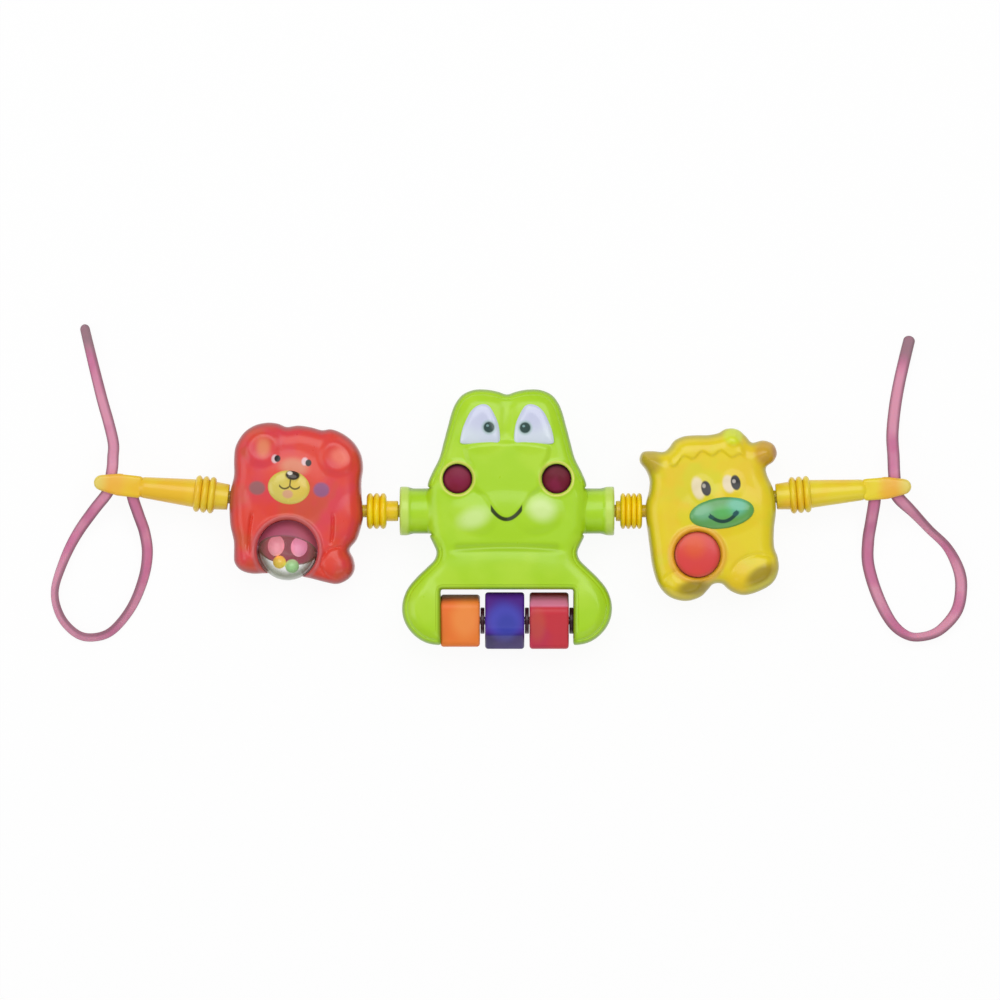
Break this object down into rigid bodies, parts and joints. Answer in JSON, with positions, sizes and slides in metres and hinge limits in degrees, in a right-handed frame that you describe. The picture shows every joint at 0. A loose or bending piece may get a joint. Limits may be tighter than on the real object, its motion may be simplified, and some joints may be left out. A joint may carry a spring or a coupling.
{
  "type": "crib mobile",
  "caption": "Crib and pram string toy: a frog with turning blocks, a bear with a rattle ball and a cow with a push button on ball-ended links, with a tie strap at each end.",
  "frame": {"origin": "on the frog's flat back, below the chain's axis, in the frog's middle", "axes": "+X along the chain towards the cow, +Y towards the heads, +Z out of the faces"},
  "size_m": [0.4585, 0.1631, 0.033],
  "materials": {
    "lime_plastic": "gloss",
    "white_plastic": "gloss",
    "plum_plastic": "gloss",
    "orange_plastic": "gloss",
    "purple_plastic": "gloss",
    "rose_plastic": "gloss",
    "dark_plastic": "satin",
    "steel": "satin",
    "yellow_plastic": "gloss",
    "cow_plastic": "gloss",
    "bear_plastic": "gloss",
    "pale_yellow_plastic": "gloss",
    "mauve_plastic": "gloss",
    "clear_plastic": "gloss",
    "pink_plastic": "gloss",
    "mint_plastic": "gloss",
    "green_plastic": "gloss",
    "coral_plastic": "gloss",
    "strap_vinyl": "satin"
  },
  "bodies": {
    "frog": {"frog_front_shell": "lime_plastic", "frog_rear_shell": "lime_plastic", "frog_left_eye": "white_plastic", "frog_right_eye": "white_plastic", "frog_left_cheek": "plum_plastic", "frog_right_cheek": "plum_plastic", "frog_screw_1": "steel", "frog_screw_2": "steel", "frog_screw_3": "steel", "frog_screw_4": "steel", "block_axle": "steel", "spacer_left": "dark_plastic", "spacer_middle": "dark_plastic", "spacer_right": "dark_plastic"},
    "orange_block": {"block_orange": "orange_plastic"},
    "purple_block": {"block_purple": "purple_plastic"},
    "red_block": {"block_red": "rose_plastic"},
    "left_link_body": {"left_link": "yellow_plastic"},
    "right_link_body": {"right_link": "yellow_plastic"},
    "bear": {"bear_front_shell": "bear_plastic", "bear_rear_shell": "bear_plastic", "bear_muzzle": "pale_yellow_plastic", "bear_screw_1": "steel", "bear_screw_2": "steel", "bear_screw_3": "steel"},
    "rattle_ball": {"rattle_mauve_half": "mauve_plastic", "rattle_clear_half": "clear_plastic", "bead_pink_left": "pink_plastic", "bead_pink_right": "pink_plastic", "bead_yellow": "pale_yellow_plastic", "bead_mint": "mint_plastic"},
    "cow": {"cow_front_shell": "cow_plastic", "cow_rear_shell": "cow_plastic", "cow_muzzle": "green_plastic", "cow_button_spring": "steel", "cow_screw_1": "steel", "cow_screw_2": "steel", "cow_screw_3": "steel"},
    "cow_button": {"cow_belly_button": "coral_plastic"},
    "left_clip": {"left_end_clip": "yellow_plastic", "left_strap_stop": "strap_vinyl", "left_strap": "strap_vinyl"},
    "right_clip": {"right_end_clip": "yellow_plastic", "right_strap_stop": "strap_vinyl", "right_strap": "strap_vinyl"}
  },
  "joints": [
    {"name": "orange_block_spin", "type": "hinge", "parent": "frog", "child": "orange_block", "pos_m": [-0.02335, -0.0548, 0.0155], "axis": [1, 0, 0], "continuous": true},
    {"name": "purple_block_spin", "type": "hinge", "parent": "frog", "child": "purple_block", "pos_m": [-0.00115, -0.0548, 0.0155], "axis": [1, 0, 0], "continuous": true},
    {"name": "red_block_spin", "type": "hinge", "parent": "frog", "child": "red_block", "pos_m": [0.02105, -0.0548, 0.0155], "axis": [1, 0, 0], "continuous": true},
    {"name": "left_link_swivel", "type": "hinge", "parent": "frog", "child": "left_link_body", "pos_m": [-0.0471, 0, 0.0155], "axis": [-1, 0, 0], "continuous": true},
    {"name": "right_link_swivel", "type": "hinge", "parent": "frog", "child": "right_link_body", "pos_m": [0.0471, 0, 0.0155], "axis": [1, 0, 0], "continuous": true},
    {"name": "bear_tilt", "type": "hinge", "parent": "left_link_body", "child": "bear", "pos_m": [-0.0783, 0, 0.0155], "axis": [0, 0, 1], "range_deg": [-2, 15]},
    {"name": "cow_tilt", "type": "hinge", "parent": "right_link_body", "child": "cow", "pos_m": [0.0757, 0, 0.0155], "axis": [0, 0, 1], "range_deg": [-15.8, 1.2]},
    {"name": "rattle_ball_spin", "type": "hinge", "parent": "bear", "child": "rattle_ball", "pos_m": [-0.10964, -0.01967, 0.0155], "axis": [0.9936, -0.1132, 0], "continuous": true},
    {"name": "cow_button_press", "type": "slide", "parent": "cow", "child": "cow_button", "axis": [0, 0, -1], "range_m": [0, 0.0025], "stiffness_N_per_m": 250, "springref_m": -0.003, "deforming": ["cow_button_spring"]},
    {"name": "left_clip_swivel", "type": "hinge", "parent": "bear", "child": "left_clip", "pos_m": [-0.13195, 0.00611, 0.0155], "axis": [-0.9936, 0.1132, 0], "continuous": true},
    {"name": "right_clip_swivel", "type": "hinge", "parent": "cow", "child": "right_clip", "pos_m": [0.12728, 0.00661, 0.0155], "axis": [0.9969, 0.0785, 0], "continuous": true}
  ]
}
